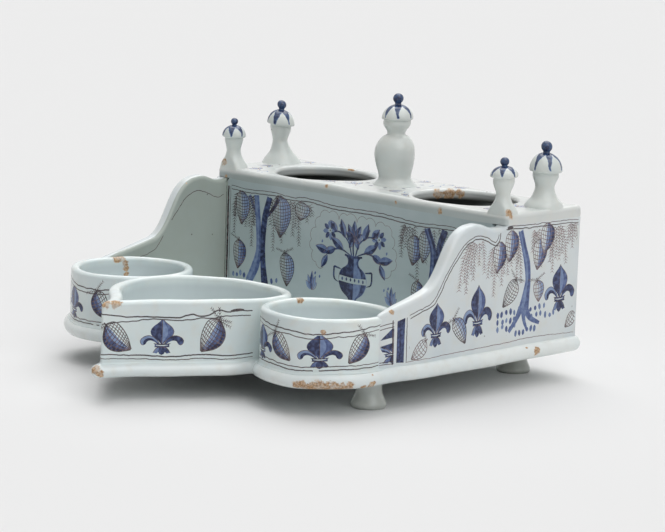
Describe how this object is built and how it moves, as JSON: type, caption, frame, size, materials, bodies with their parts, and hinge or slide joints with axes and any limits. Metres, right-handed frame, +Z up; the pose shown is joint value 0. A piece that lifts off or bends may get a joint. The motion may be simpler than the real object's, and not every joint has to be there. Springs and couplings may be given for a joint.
{
  "type": "desk inkstand",
  "caption": "Glazed earthenware desk inkstand: a closed box with two oval pot openings and finials, scrolled side arms, two round pans and a pointed pan, on small feet.",
  "frame": {"origin": "on the ground, under the middle of the base slab's outline", "axes": "+X to the object's right, seen from the front; -Y towards the front, where the pans are; +Z up"},
  "size_m": [0.2592, 0.2904, 0.1667],
  "materials": {
    "glaze_base": "glossy pale blue-grey tin glaze with worn brown edges",
    "glaze_wall": "glossy pale blue-grey tin glaze, painted in cobalt blue and manganese purple-brown",
    "glaze_top": "glossy pale blue-grey tin glaze with thin painted sprays and chipped rims",
    "glaze_pan": "glossy pale blue-grey tin glaze with painted bands",
    "glaze_finial": "glossy pale tin glaze with blue knobs and strokes",
    "glaze_foot": "thin grey glaze, bare underneath"
  },
  "bodies": {
    "root": {"base_slab": "glaze_base", "left_side_wall": "glaze_wall", "right_side_wall": "glaze_wall", "box_front_wall": "glaze_wall", "box_back_wall": "glaze_wall", "box_top": "glaze_top", "left_round_pan": "glaze_pan", "right_round_pan": "glaze_pan", "pointed_pan": "glaze_pan", "centre_finial": "glaze_finial", "front_left_finial": "glaze_finial", "front_right_finial": "glaze_finial", "rear_left_finial": "glaze_finial", "rear_right_finial": "glaze_finial", "front_left_foot": "glaze_foot", "front_right_foot": "glaze_foot", "rear_left_foot": "glaze_foot", "rear_right_foot": "glaze_foot"}
  },
  "joints": []
}
